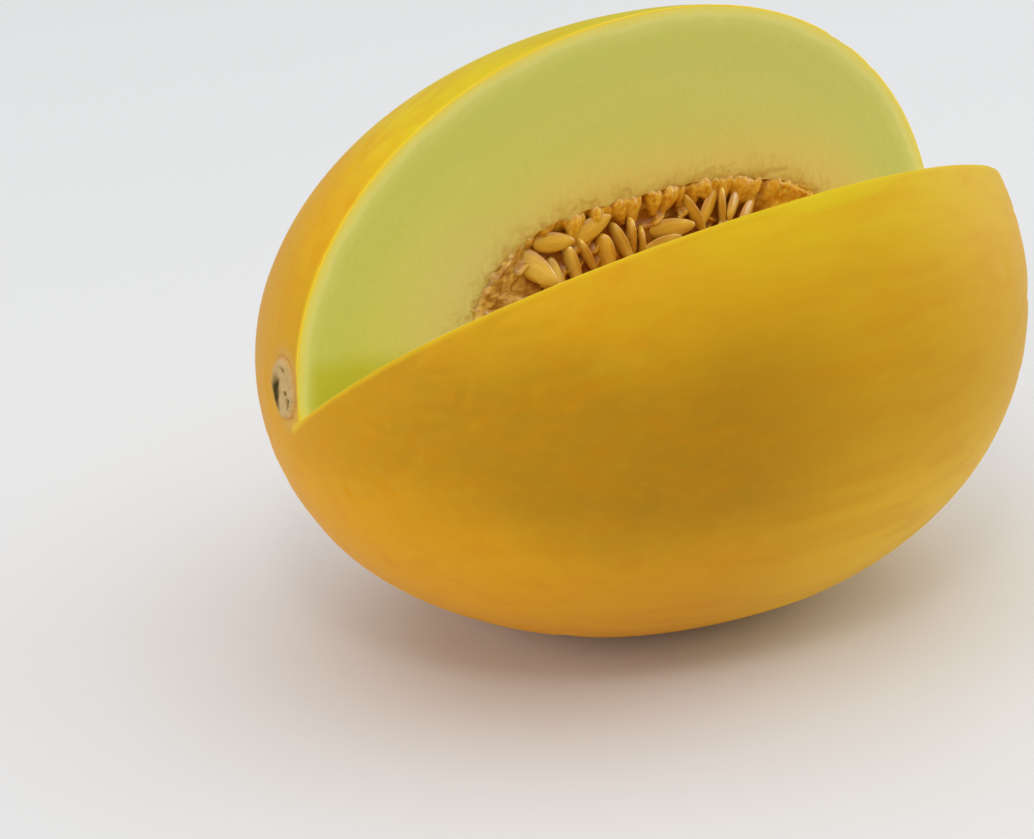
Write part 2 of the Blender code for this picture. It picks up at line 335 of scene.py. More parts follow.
def sink_of_face(points, seed):
    """How far a cut face lies below its plane: knife waves, a soft rim and a worn rind edge."""
    from_wall = np.maximum(distance_from(cavity_field, points), 0)
    depth = np.maximum(-distance_from(outline_field, points), 0)
    waves = 0.10 * MM * roughness_at(points, 14 * MM, seed)
    slump = 1.2 * MM * np.exp(-from_wall / (2.4 * MM))
    slump *= 1 + 0.6 * roughness_at(points, 5 * MM, seed + 1)
    fibres = 0.20 * MM * np.exp(-from_wall / (5 * MM)) * roughness_at(points, 1.3 * MM, seed + 2)
    worn = 0.22 * MM * (1 - np.clip(depth / (0.5 * MM), 0, 1)) ** 2
    fade = smooth_step(0, 4 * MM, distance_from_tip(points))
    return fade * (waves + np.maximum(slump, 0) + fibres + worn)


def scar_share(points):
    """How far out across the stem scar each point lies: 0 at its middle, 1 at its uneven edge."""
    across = (points[..., 1] - SCAR_OFFSET[0]) / SCAR_RADII[0]
    up = (points[..., 2] - SCAR_OFFSET[1] - AXIS_HEIGHT) / SCAR_RADII[1]
    share = np.hypot(across, up) * (1 + 0.07 * roughness_at(points, 4 * MM, 60))
    return share + np.where(points[..., 0] > SCAR_LIMIT, FAR_OUTSIDE, 0)


def scar_dip(points):
    """The shallow hollow round the stem scar, and the bed in it that the cork lies in."""
    share = scar_share(points)
    hollow = SCAR_DIP * (1 - smooth_step(0.75, 1.5, share))
    bed = SCAR_BED * (1 - smooth_step(0.78, 0.94, share))
    return hollow + bed


def blossom_distance(points):
    return np.linalg.norm(points - BLOSSOM_SCAR, axis=-1)


def rind_rise(points):
    """How far the rind stands off the plain outline: soft lengthwise ridges, creases and dips."""
    centred = points - [0, 0, AXIS_HEIGHT]
    ridges = 0.18 * MM * roughness_at(centred * [0.28, 1, 1], 17 * MM, 5)
    dents = 0.15 * MM * roughness_at(points, 30 * MM, 6)
    lines = 1 - np.abs(roughness_at(centred * [0.14, 1, 1], 9 * MM, 11)) * 4
    where = smooth_step(-0.05, 0.35, roughness_at(points, 45 * MM, 12))
    creases = 0.42 * MM * np.clip(lines, 0, 1) ** 2 * where
    dimple = 0.5 * MM * (1 - smooth_step(1 * MM, 6 * MM, blossom_distance(points)))
    return ridges + dents - creases - scar_dip(points) - dimple


def build_fruit():
    """Rind, cut faces and cavity wall as one closed skin."""
    polar = np.linspace(0, math.pi, POLAR_STEPS + 1)
    turn = np.linspace(FAR_CUT, NEAR_CUT + math.tau, RIND_COLUMNS + 1)
    wall_turn = np.linspace(FAR_CUT, NEAR_CUT + math.tau, WALL_COLUMNS + 1)

    directions = fan(turn, polar)
    rind = TIP_MIDDLE + directions * reach(outline_field, TIP_MIDDLE, directions)[..., None]
    normals = slope_of(outline_field, rind)
    normals /= np.linalg.norm(normals, axis=-1, keepdims=True)
    rind = rind + normals * rind_rise(rind)[..., None]

    directions = fan(wall_turn, polar)
    wall = TIP_MIDDLE + directions * reach(cavity_field, TIP_MIDDLE, directions)[..., None]
    ragged = 0.9 * MM * roughness_at(wall, 6 * MM, 8) + 0.45 * MM * roughness_at(wall, 2 * MM, 9)
    wall = wall + directions * ragged[..., None]

    shares = shares_by_spacing([0, 0.12, 0.35, 0.8, 0.93, 1], [0.4, 0.5, 1.1, 1.1, 0.3, 0.07], 62)
    faces = []
    for column, wall_column, cut, seed in ((0, 0, FAR_CUT, 20), (-1, -1, NEAR_CUT, 30)):
        inner, outer = wall[:, wall_column, None], rind[:, column, None]
        plane = inner + (outer - inner) * shares[None, :, None]
        plane = plane - cut_normal(cut) * sink_of_face(plane, seed)[..., None]
        wall[1:-1, wall_column] = plane[1:-1, 0]
        rind[1:-1, column] = plane[1:-1, -1]
        faces.append(plane)

    rind[..., 2] = np.maximum(rind[..., 2], 0)
    skin = Skin()
    tips = skin.add(faces[0][0])
    stem_tips = skin.add(faces[0][-1])
    rind_index = closed_rows(skin, rind, tips[-1], stem_tips[-1])
    wall_index = closed_rows(skin, wall, tips[0], stem_tips[0])
    skin.add_grid(rind_index, 0)
    skin.add_grid(wall_index, 1)
    for column, plane in zip((0, -1), faces):
        index = face_grid(skin, plane, wall_index[:, column], rind_index[:, column], tips,
                          stem_tips)
        skin.add_grid(index, 1)
    return skin.mesh("melon_fruit")


def add_attribute(mesh, name, values):
    attribute = mesh.attributes.new(name, "FLOAT", "POINT")
    attribute.data.foreach_set("value", np.asarray(values, np.float32).ravel())


def points_of(mesh):
    points = np.empty(len(mesh.vertices) * 3, np.float32)
    mesh.vertices.foreach_get("co", points)
    return points.reshape(-1, 3).astype(float)


def add_depths(mesh):
    """Depths and distances that the shaders use, in millimetres, and the share across the scar."""
    points = points_of(mesh)
    add_attribute(mesh, "rind_depth", -distance_from(outline_field, points) / MM)
    add_attribute(mesh, "cavity_distance", distance_from(cavity_field, points) / MM)
    add_attribute(mesh, "tip_distance", distance_from_tip(points) / MM)
    from_blossom = blossom_distance(points) + 0.4 * MM * roughness_at(points, 2 * MM, 13)
    add_attribute(mesh, "blossom_distance", from_blossom / MM)
    add_attribute(mesh, "scar_share", scar_share(points))
    from_cut = np.full(len(points), np.inf)
    for cut in (NEAR_CUT, FAR_CUT):
        beside = np.abs((points - TIP_MIDDLE) @ cut_normal(cut))
        on_this_side = (points - TIP_MIDDLE) @ outwards(cut) > 0
        from_cut = np.where(on_this_side, np.minimum(from_cut, beside), from_cut)
    add_attribute(mesh, "cut_distance", np.minimum(from_cut, 0.1) / MM)


def show(name, mesh, sharp_angle=None):
    mesh.shade_smooth()
    if sharp_angle is not None:
        mesh.set_sharp_from_angle(angle=math.radians(sharp_angle))
    piece = bpy.data.objects.new(name, mesh)
    bpy.context.scene.collection.objects.link(piece)
    return piece


def join_meshes(name, meshes):
    """One mesh of several, each kept as it is with its attributes."""
    bm = bmesh.new()
    for mesh in meshes:
        bm.from_mesh(mesh)
    data = bpy.data.meshes.new(name)
    bm.to_mesh(data)
    bm.free()
    return data


def tube(path, radii, sides=9):
    """A closed tube along a path, as a mesh, with a pointed cap at each end."""
    skin = Skin()
    path = np.asarray(path, float)
    tangents = np.gradient(path, axis=0)
    tangents /= np.linalg.norm(tangents, axis=1, keepdims=True)
    side = np.cross(tangents, INTO_NOTCH + 0.01)
    side /= np.linalg.norm(side, axis=1, keepdims=True)
    up = np.cross(side, tangents)
    turn = np.linspace(0, math.tau, sides, endpoint=False)
    ring = np.cos(turn)[None, :, None] * side[:, None] + np.sin(turn)[None, :, None] * up[:, None]
    rows = skin.add(path[:, None] + ring * np.asarray(radii)[:, None, None])
    ends = skin.add(np.stack([path[0] - tangents[0] * radii[0] * 0.7,
                              path[-1] + tangents[-1] * radii[-1] * 0.7]))
    index = np.concatenate([rows, rows[:, :1]], 1)
    index = np.concatenate([np.full((1, sides + 1), ends[0]), index,
                            np.full((1, sides + 1), ends[1])])
    skin.add_grid(index, 0)
    return skin.mesh("tube")


def face_frame(angle):
    """A cut's placement: origin on the tip line, Y out along the cut, Z out into the notch."""
    normal = cut_normal(angle)
    out = outwards(angle)
    out = out - ALONG * (out @ ALONG)
    out /= np.linalg.norm(out)
    along = np.cross(out, normal)
    frame = Matrix(np.stack([along, out, normal], 1).tolist()).to_4x4()
    frame.translation = TIP_MIDDLE
    return frame


def pulp_lift(points, seed, end_fill):
    """How far the pulp's face stands off its plane: wet lumps, and fuller ends without seeds."""
    from_wall = -distance_from(cavity_field, points)
    lumps = 0.9 * MM * roughness_at(points, 6.5 * MM, seed)
    grains = 0.5 * MM * roughness_at(points, 2.4 * MM, seed + 1)
    rim = 2.0 * MM * np.exp(-np.maximum(from_wall, 0) / (1.6 * MM))
    rim *= 1 + 0.6 * roughness_at(points, 4.5 * MM, seed + 2)
    along, out = points[..., 0] / MM, distance_from_tip(points) / MM
    at_stem = 2.9 * MM * (1 - smooth_step(-39, -29, along)) * smooth_step(2, 8, out)
    at_blossom = 2.6 * MM * smooth_step(44, 52, along) * smooth_step(8, 17, out)
    ends = end_fill * (at_stem + at_blossom)
    return lumps + grains + np.maximum(rim, 0) + ends - 0.6 * MM


def pulp_core():
    """The pulp that fills the cavity up to just behind the cuts."""
    polar = np.linspace(0, math.pi, 201)
    turn = np.linspace(FAR_CUT, NEAR_CUT + math.tau, 33)
    directions = fan(turn, polar)
    wall = reach(cavity_field, PULP_MIDDLE, directions) + PULP_OVERLAP
    wall = PULP_MIDDLE + directions * wall[..., None]
    shares = np.linspace(0, 1, 61)
    skin = Skin()
    faces = []
    for column, cut, seed, end_fill in ((0, FAR_CUT, 40, 1.0), (-1, NEAR_CUT, 50, 0.2)):
        plane = PULP_MIDDLE + (wall[:, column, None] - PULP_MIDDLE) * shares[None, :, None]
        from_tip = np.linalg.norm(np.cross(plane - PULP_MIDDLE, ALONG), axis=-1)
        lift = pulp_lift(plane, seed, end_fill) * smooth_step(0, 3 * MM, from_tip)
        plane = plane + cut_normal(cut) * lift[..., None]
        wall[1:-1, column] = plane[1:-1, -1]
        faces.append(plane)
    blossom_row = skin.add(faces[0][0])
    stem_row = skin.add(faces[0][-1, 1:])
    stem_row = np.concatenate([blossom_row[:1], stem_row])
    wall_index = closed_rows(skin, wall, blossom_row[-1], stem_row[-1])
    skin.add_grid(wall_index, 0)
    for column, plane in zip((0, -1), faces):
        index = face_grid(skin, plane, blossom_row[0], wall_index[:, column], blossom_row,
                          stem_row)
        skin.add_grid(index, 0)
    return skin.mesh("pulp_core")


def rim_places(cut, spacing, draw):
    """Places along the cavity's rim on a cut, about a spacing apart, each with its inward way."""
    polar = np.linspace(0.02, math.pi - 0.02, 500)
    directions = fan([cut], polar)[:, 0]
    rim = TIP_MIDDLE + directions * reach(cavity_field, TIP_MIDDLE, directions)[:, None]
    lengths = np.concatenate([[0], np.cumsum(np.linalg.norm(np.diff(rim, axis=0), axis=1))])
    tangents = np.gradient(rim, axis=0)
    at = spacing * 0.5
    while at < lengths[-1]:
        i = int(np.searchsorted(lengths, at))
        inwards = np.cross(tangents[i], cut_normal(cut))
        inwards /= np.linalg.norm(inwards)
        if inwards @ (TIP_MIDDLE - rim[i]) < 0:
            inwards = -inwards
        yield rim[i], inwards
        at += spacing * draw.uniform(0.7, 1.35)


def bare_above(along):
    """How far out on the far cut the pulp starts to be bare of seeds, at a place along it."""
    if along < SHOWN_STRETCH[0] * MM:
        return BARE_FROM[0]
    return BARE_FROM[1] if along > SHOWN_STRETCH[1] * MM else math.inf


def rim_lobes(draw):
    """Soft wet lobes of pulp that hang from the cavity's rim over the seeds on both cuts."""
    lobes = []
    shares = np.linspace(0, 1, 9)
    for cut in (FAR_CUT, NEAR_CUT):
        normal = cut_normal(cut)
        for rim, inwards in rim_places(cut, LOBE_SPACING, draw):
            length = draw.uniform(*LOBE_LENGTHS) * MM
            thick = draw.uniform(*LOBE_RADII) * MM
            level = draw.uniform(*LOBE_LEVELS) * MM
            sideways = np.cross(normal, inwards) * draw.uniform(-0.4, 0.4)
            if cut == FAR_CUT and rim[0] < SHORT_LOBES_BELOW:
                length, thick = length * 0.35, thick * 0.85
            start = rim - inwards * LOBE_ROOT
            sink = level + 1.9 * MM * (1 - smooth_step(0, 0.4, shares)) + 2.4 * MM * shares ** 2
            path = [start + (inwards + sideways * t) * (length + LOBE_ROOT) * t - normal * low
                    for t, low in zip(shares, sink)]
            radii = thick * (0.62 + 0.55 * np.sin(np.pi * np.clip(shares * 1.15 - 0.12, 0, 1)))
            lobes.append(tube(path, radii, 10))
    return lobes


def strands(draw):
    """Short wet strands that make the pulp's faces stringy, highest at the ends without seeds."""
    pieces = []
    shares = np.linspace(-0.5, 0.5, 9)
    for cut in (FAR_CUT, NEAR_CUT):
        frame_of_face = face_frame(cut)
        placed = 0
        while placed < STRANDS_ON_CUT:
            along = draw.uniform(*STRAND_ALONG)
            out = draw.uniform(*STRAND_OUT)
            below = -draw.uniform(*STRAND_LEVELS) * MM
            if cut == FAR_CUT and out > bare_above(along - 5 * MM if along < 0 else along):
                below += 1.7 * MM
            centre = np.array(frame_of_face @ Vector((along, out, below)))
            if distance_from(cavity_field, centre) > -STRAND_WALL_GAP:
                continue
            placed += 1
            length = draw.uniform(*STRAND_LENGTHS) * MM
            thick = draw.uniform(*STRAND_RADII) * MM
            spin = draw.gauss(0.25, 0.6)
            bend = draw.uniform(-0.3, 0.3)
            flat = [(length * (t * math.cos(spin) - bend * t * t * math.sin(spin)),
                     length * (t * math.sin(spin) + bend * t * t * math.cos(spin))) for t in shares]
            path = [frame_of_face @ Vector((along + x, out + y, below - 1.2 * MM * (2 * t) ** 2))
                    for (x, y), t in zip(flat, shares)]
            pieces.append(tube(path, thick * (1.05 - 1.2 * np.abs(shares)), 8))
    return pieces


def shreds(draw):
    """Flat shreds of pulp that run out over the stem end of the rim and lie on the flesh."""
    pieces = []
    shares = np.linspace(0, 1, 12)
    for cut, seed in ((FAR_CUT, 20), (NEAR_CUT, 30)):
        normal = cut_normal(cut)
        for rim, inwards in rim_places(cut, SHRED_SPACING, draw):
            end_share = 1 - smooth_step(-51, -40, rim[0] / MM)
            length = draw.uniform(4, 5.5) * MM + draw.uniform(0, 3.5) * MM * end_share
            lean = draw.uniform(-0.4, 0.4)
            bend = draw.uniform(-0.3, 0.3)
            thick = draw.uniform(*SHRED_RADII) * MM
            if end_share < 0.05:
                continue
            sideways = np.cross(normal, inwards)
            flat = np.array([rim - inwards * (length * t - SHRED_ROOT)
                             + sideways * (lean * t + bend * t * t) * length for t in shares])
            height = 0.05 * thick - sink_of_face(flat, seed) - 0.5 * MM * shares ** 3
            path = flat + normal * height[:, None]
            pieces.append(tube(path, thick * (1.1 - 0.35 * shares), 8))
    return pieces


def keep_largest_part(mesh):
    """Drops the small crumbs and bubbles that remeshing leaves beside the main skin."""
    bm = bmesh.new()
    bm.from_mesh(mesh)
    unseen = set(bm.verts)
    parts = []
    while unseen:
        front = [unseen.pop()]
        part = []
        while front:
            vertex = front.pop()
            part.append(vertex)
            for edge in vertex.link_edges:
                other = edge.other_vert(vertex)
                if other in unseen:
                    unseen.remove(other)
                    front.append(other)
        parts.append(part)
    largest = max(parts, key=len)
    strays = [vertex for part in parts if part is not largest for vertex in part]
    bmesh.ops.delete(bm, geom=strays, context="VERTS")
    bm.to_mesh(mesh)
    bm.free()


def build_pulp(draw):
    """Core, lobes, strands and shreds run together into one wet skin, with its depths."""
    piece = bpy.data.objects.new("pulp_build", join_meshes(
        "pulp", [pulp_core(), *rim_lobes(draw), *strands(draw), *shreds(draw)]))
    bpy.context.scene.collection.objects.link(piece)
    remesh = piece.modifiers.new("join", "REMESH")
    remesh.mode = "VOXEL"
    remesh.voxel_size = PULP_VOXEL
    soften = piece.modifiers.new("soften", "SMOOTH")
    soften.factor = 0.5
    soften.iterations = 2
    thin = piece.modifiers.new("thin", "DECIMATE")
    thin.ratio = PULP_KEPT_SHARE
    mesh = bpy.data.meshes.new_from_object(
        piece.evaluated_get(bpy.context.evaluated_depsgraph_get()))
    bpy.data.objects.remove(piece)
    keep_largest_part(mesh)
    points = points_of(mesh)
    normals = np.empty(len(points) * 3, np.float32)
    mesh.vertex_normals.foreach_get("vector", normals)
    pitted = 0.22 * roughness_at(points, 1.9 * MM, 70) + 0.12 * roughness_at(points, 0.9 * MM, 71)
    points = points + normals.reshape(-1, 3) * pitted[:, None] * MM
    mesh.vertices.foreach_set("co", points.astype(np.float32).ravel())
    depths = [-(points - TIP_MIDDLE) @ cut_normal(cut) for cut in (FAR_CUT, NEAR_CUT)]
    add_attribute(mesh, "pulp_depth", np.maximum(*depths) / MM)
    add_attribute(mesh, "cavity_distance", distance_from(cavity_field, points) / MM)
    return mesh


def seed_mesh(size, tone):
    """A flat smooth drop, blunt at one end, with its own lengthwise places for the shader."""
    length, width, thickness = size
    skin = Skin()
    rings = np.linspace(0, math.pi, 15)[1:-1]
    turn = np.linspace(0, math.tau, 25)[:-1]
    place = -np.cos(rings)
    girth = np.sin(rings) ** 0.85 * (1 - 0.24 * place - 0.10 * place ** 2)
    across = np.cos(turn)
    over = np.sign(np.sin(turn)) * np.abs(np.sin(turn)) ** 1.25
    rows = np.stack([
        np.repeat(place[:, None] * length / 2, len(turn), 1),
        girth[:, None] * across[None] * width / 2,
        (np.sin(rings) ** 0.7)[:, None] * over[None] * thickness / 2], -1)
    index = skin.add(rows)
    ends = skin.add([[-length / 2, 0, 0], [length / 2, 0, 0]])
    index = np.concatenate([index, index[:, :1]], 1)
    columns = index.shape[1]
    index = np.concatenate([np.full((1, columns), ends[0]), index, np.full((1, columns), ends[1])])
    skin.add_grid(index, 0)
    mesh = skin.mesh("seed")
    points = points_of(mesh)
    add_attribute(mesh, "seed_along", points[:, 0] / length + 0.5)
    add_attribute(mesh, "seed_across", points[:, 1] / width)
    add_attribute(mesh, "seed_tone", np.full(len(points), tone))
    return mesh


def view_axes():
    """Right, up and back as seen from the front three-quarter view of the notch."""
    pitch = Matrix.Rotation(math.pi / 2 - CAMERA_PITCH, 3, "X")
    return Matrix.Rotation(-CAMERA_YAW, 3, "Z") @ pitch


def shown_seeds():
    """The seeds that show above the near half, each where it lies in the photograph."""
    frame_of_face = face_frame(FAR_CUT)
    for along, out, tilt, turn, dip, _ in SHOWN_SEEDS:
        place = frame_of_face @ Vector((along * MM, out * MM, -SHOWN_SEED_DEPTH))
        turned = view_axes() @ Matrix.Rotation(math.radians(tilt), 3, "Z")
        turned = turned @ Matrix.Rotation(math.radians(dip), 3, "Y")
        turned = turned @ Matrix.Rotation(math.radians(turn), 3, "X")
        yield Matrix.Translation(place) @ turned.to_4x4()


def filling_seeds(draw):
    """Uneven rows of seeds over the rest of both faces, clear of the cavity wall."""
    tip_setback = PULP_RECESS / math.tan(HALF_OPENING)
    shown = [Vector((along * MM, out * MM)) for along, out, *_ in SHOWN_SEEDS]
    for cut in (FAR_CUT, NEAR_CUT):
        frame_of_face = face_frame(cut)
        for row in range(SEED_ROWS):
            out = -tip_setback + SEED_ROW_STEP * (row + 0.9)
            for i in range(SEEDS_IN_ROW):
                along = SEED_ROW_START + SEED_STEP_ALONG * (i + 0.5 * (row % 2))
                place = Vector((along + draw.uniform(-1, 1) * SEED_JITTER,
                                out + draw.uniform(-1, 1) * SEED_JITTER,
                                -draw.uniform(2.4, 4.2) * MM))
                spin = draw.gauss(1.2, 0.7)
                dip = draw.gauss(0.1, 0.25)
                turn = draw.choice((0.2, -0.2, 0.6, -0.7, 1.1, 1.35))
                centre = frame_of_face @ place
                room = -float(distance_from(cavity_field, np.array(centre)))
                near_shown = min((place.xy - spot).length for spot in shown) < SEED_SPACING
                bare = place.y > bare_above(along)
                if room < SEED_ROOM or (cut == FAR_CUT and (near_shown or bare)):
                    continue
                turned = Matrix.Rotation(spin, 4, "Z") @ Matrix.Rotation(dip, 4, "Y")
                turned = turned @ Matrix.Rotation(turn, 4, "X")
                yield frame_of_face @ Matrix.Translation(place) @ turned


def build_seeds(draw):
    """All seeds as one mesh, each of slightly its own size and tone."""
    meshes = []
    sizes = [size for *_, size in SHOWN_SEEDS]
    places = [*shown_seeds(), *filling_seeds(draw)]
    sizes += [draw.uniform(0.9, 1.06) for _ in places[len(sizes):]]
    for matrix, size in zip(places, sizes):
        shape = [side * size * draw.uniform(0.96, 1.04) for side in SEED_SIZE]
        mesh = seed_mesh(shape, draw.random())
        mesh.transform(matrix)
        meshes.append(mesh)
    return join_meshes("seeds", meshes)


def build_scar():
    """The corky ring where the stalk came away, with a dark crescent and pits in it."""
    rings = np.linspace(0, 1, 40)[1:]
    turn = np.linspace(0, math.tau, 113)[:-1]
    y = rings[:, None] * np.cos(turn) * SCAR_RADII[0]
    z = rings[:, None] * np.sin(turn) * SCAR_RADII[1]
    start = np.stack([np.full_like(y, -0.08), y + SCAR_OFFSET[0],
                      z + SCAR_OFFSET[1] + AXIS_HEIGHT], -1)
    outside = np.broadcast_to(np.array([-1.0, 0, 0]), start.shape)
    surface = start + outside * reach(outline_field, start, outside)[..., None]
    share = rings[:, None] + 0.06 * roughness_at(surface, 3.5 * MM, 61)
    ring = np.exp(-((share - 0.74) / 0.16) ** 2)
    angle = np.arctan2(z / SCAR_RADII[1], y / SCAR_RADII[0])
    bent = share - 0.60 + 0.13 * angle + 0.12 * roughness_at(surface, 2.5 * MM, 63)
    crescent = np.exp(-(bent / 0.21) ** 2) * np.exp(-((angle + 0.45) / 0.72) ** 2)
    dark = crescent
    for pit_y, pit_z, size in SCAR_PITS:
        from_pit = np.hypot(y - pit_y * MM, z - pit_z * MM)
        dark = np.maximum(dark, 0.85 * np.exp(-(from_pit / (size * MM)) ** 2))
    crumbs = 0.20 * roughness_at(surface, 1.3 * MM, 64) + 0.10 * roughness_at(surface, 0.6 * MM, 62)
    edge = 0.9 * smooth_step(0.86, 1.0, rings[:, None])
    height = 0.85 * ring + crumbs - 1.0 * dark - edge - 1.0
    top = surface + outside * (height * MM)[..., None]
    base = surface[-1] - outside[-1] * CORK_DEPTH
    skin = Skin()
    rows = skin.add(np.concatenate([top, base[None]]))
    middle = skin.add(np.stack([top[0].mean(0), base.mean(0)]))
    index = np.concatenate([rows, rows[:, :1]], 1)
    columns = index.shape[1]
    index = np.concatenate([np.full((1, columns), middle[0]), index,
                            np.full((1, columns), middle[1])])
    skin.add_grid(index, 0)
    mesh = skin.mesh("stem_scar")
    shade = np.concatenate([dark.ravel(), np.zeros(len(mesh.vertices) - dark.size)])
    add_attribute(mesh, "scar_dark", shade)
    outer = np.concatenate([share.ravel(), np.ones(len(mesh.vertices) - share.size)])
    add_attribute(mesh, "scar_share", outer)
    return mesh


class Shader:
    """A material's node tree, with short calls for the nodes that it uses."""

    def __init__(self, name):
        self.material = bpy.data.materials.new(name)
        self.material.use_nodes = True
        self.tree = self.material.node_tree
        self.surface = self.tree.nodes["Principled BSDF"]
        self.place = self.tree.nodes.new("ShaderNodeTexCoord").outputs["Object"]

    def put(self, socket, value):
        if isinstance(value, bpy.types.NodeSocket):
            self.tree.links.new(value, socket)
        else:
            socket.default_value = value

    def set(self, **values):
        """Sets inputs of the surface shader, named with underscores for spaces."""
        for name, value in values.items():
            self.put(self.surface.inputs[name.replace("_", " ")], value)

    def attribute(self, name):
        node = self.tree.nodes.new("ShaderNodeAttribute")
        node.attribute_name = name
        return node.outputs["Fac"]

    def math(self, operation, *values):
        node = self.tree.nodes.new("ShaderNodeMath")
        node.operation = operation
        for socket, value in zip(node.inputs, values):
            self.put(socket, value)
        return node.outputs["Value"]

    def times(self, first, second):
        return self.math("MULTIPLY", first, second)

    def stretch(self, vector, scale):
        node = self.tree.nodes.new("ShaderNodeVectorMath")
        node.operation = "MULTIPLY"
        self.put(node.inputs[0], vector)
        self.put(node.inputs[1], scale)
        return node.outputs["Vector"]

    def vector(self, x, y, z):
        node = self.tree.nodes.new("ShaderNodeCombineXYZ")
        for socket, value in zip(node.inputs, (x, y, z)):
            self.put(socket, value)
        return node.outputs["Vector"]

    def split(self, vector):
        node = self.tree.nodes.new("ShaderNodeSeparateXYZ")
        self.put(node.inputs[0], vector)
        return node.outputs

    def noise(self, size, detail=3.0, vector=None, distortion=0.0):
        """Noise from 0 to 1 with features about the given size in metres."""
        node = self.tree.nodes.new("ShaderNodeTexNoise")
        self.put(node.inputs["Vector"], self.place if vector is None else vector)
        node.inputs["Scale"].default_value = 1 / size
        node.inputs["Detail"].default_value = detail
        node.inputs["Distortion"].default_value = distortion
        return node.outputs["Fac"]

    def fit(self, value, low, high, to_low=0.0, to_high=1.0):
        """Maps a range of a value to another, clamped and eased."""
        node = self.tree.nodes.new("ShaderNodeMapRange")
        node.interpolation_type = "SMOOTHSTEP"
        for socket, number in zip(node.inputs, (value, low, high, to_low, to_high)):
            self.put(socket, number)
        return node.outputs["Result"]

    def band(self, value, rise, fall):
        """1 between two eased edges, each given as (from, to), and 0 beyond them."""
        return self.times(self.fit(value, *rise), self.fit(value, *fall, 1, 0))

    def ramp(self, value, *stops):
        """A colour from (place, colour) stops, the value running from 0 to 1."""
        node = self.tree.nodes.new("ShaderNodeValToRGB")
        self.put(node.inputs["Fac"], value)
        elements = node.color_ramp.elements
        while len(elements) < len(stops):
            elements.new(0.5)
        for element, (place, shade) in zip(elements, stops):
            element.position = place
            element.color = shade
        return node.outputs["Color"]

    def mix(self, share, first, second, blend="MIX"):
        node = self.tree.nodes.new("ShaderNodeMix")
        node.data_type = "RGBA"
        node.blend_type = blend
        self.put(node.inputs[0], share)
        self.put(node.inputs[6], first)
        self.put(node.inputs[7], second)
        return node.outputs[2]

    def bump(self, height, distance, strength=1.0):
        node = self.tree.nodes.new("ShaderNodeBump")
        node.inputs["Strength"].default_value = strength
        node.inputs["Distance"].default_value = distance
        self.put(node.inputs["Height"], height)
        return node.outputs["Normal"]


def rind_colour(shader, streaks):
    """Lemon above and amber below, partly painted light from above, a belt of painted shade round the
    left half, and lengthwise veins.
    """
    x, y, z = shader.split(shader.place)
    clouds = shader.noise(40 * MM, 4)
    uneven = shader.times(shader.math("SUBTRACT", clouds, 0.5), 0.032)
    level = shader.math("ADD", shader.math("MULTIPLY_ADD", x, 0.12, z), uneven)
    # Yellower and lighter towards the top: partly the rind's own tone, partly painted light from
    # above.
    base = shader.ramp(
        shader.math("DIVIDE", level, 0.16), (0.0, colour(230, 158, 22)),
        (0.22, colour(226, 160, 26)), (0.5, colour(216, 160, 26)), (0.72, colour(220, 168, 28)),
        (0.84, colour(224, 194, 28)), (1.0, colour(210, 196, 26)))
    # Painted shade: a darker belt across the middle height, strongest on the front and towards the
    # stem end.
    painted_belt_shade = shader.band(level, (0.042, 0.068), (0.088, 0.116))
    painted_belt_shade = shader.times(painted_belt_shade, shader.fit(y, -0.06, 0.02, 0.82, 0.25))
    painted_belt_shade = shader.times(painted_belt_shade, shader.fit(x, -0.032, 0.022, 1.0, 0.12))
    belt_shaded = shader.mix(painted_belt_shade, base, colour(180, 130, 24))
    righted = shader.mix(shader.fit(x, 0.0, 0.09, 0, 0.65), belt_shaded, colour(228, 178, 28))
    # Painted bounce light: lighter low on the rind towards the blossom end.
    low_bounce_light = shader.times(shader.fit(x, -0.025, 0.03, 0, 0.9), shader.fit(z, 0.04, 0.085, 1, 0))
    bounce_lifted = shader.mix(low_bounce_light, righted, colour(246, 196, 40))
    vein_share = shader.times(shader.fit(streaks, 0.42, 0.72, 0, 0.30),
                              shader.fit(x, 0.045, 0.095, 1.0, 0.3))
    veined = shader.mix(vein_share, bounce_lifted, colour(214, 138, 10))
    mottles = shader.noise(3.2 * MM, 3, shader.stretch(shader.place, (0.5, 1, 1)))
    return shader.mix(shader.fit(mottles, 0.5, 0.75, 0, 0.06), veined, colour(240, 196, 40))


def rind_marks(shader, plain):
    """The blossom scar, the tan round the stem scar and a painted highlight as a bright edge along
    the cuts.
    """
    from_blossom = shader.attribute("blossom_distance")
    ring = shader.band(from_blossom, (1.0, 2.2), (2.6, 4.6))
    ringed = shader.mix(shader.times(ring, 0.75), plain, colour(166, 122, 62))
    scarred = shader.mix(shader.fit(from_blossom, 0.8, 2.0, 0.8, 0), ringed, colour(112, 84, 40))
    round_scar = shader.fit(shader.attribute("scar_share"), 0.95, 1.45, 0.5, 0)
    tanned = shader.mix(round_scar, scarred, colour(206, 160, 84))
    # Painted light: a brighter yellow band on the rind within about 1.7 mm of the cuts.
    edge = shader.fit(shader.attribute("cut_distance"), 0.1, 1.7, 0.42, 0)
    return shader.mix(edge, tanned, colour(238, 212, 40))


def rind_material():
    """Smooth waxy yellow skin with faint lengthwise streaks and fine pores."""
    shader = Shader("canary_rind")
    streaks = shader.noise(6 * MM, 4, shader.stretch(shader.place, (0.13, 1, 1)), 0.4)
    marked = rind_marks(shader, rind_colour(shader, streaks))
    shader.set(Base_Color=marked, Roughness=0.48, Subsurface_Weight=0.08,
               Subsurface_Radius=(2.4 * MM, 1.4 * MM, 0.3 * MM), Subsurface_Scale=1.0,
               Specular_IOR_Level=0.16, Specular_Tint=(1.0, 0.80, 0.35, 1))
    pores = shader.noise(0.7 * MM, 3)
    dimples = shader.math("ADD", shader.times(streaks, 0.5), pores)
    shader.set(Normal=shader.bump(dimples, 0.10 * MM, 0.5))
    return shader.material


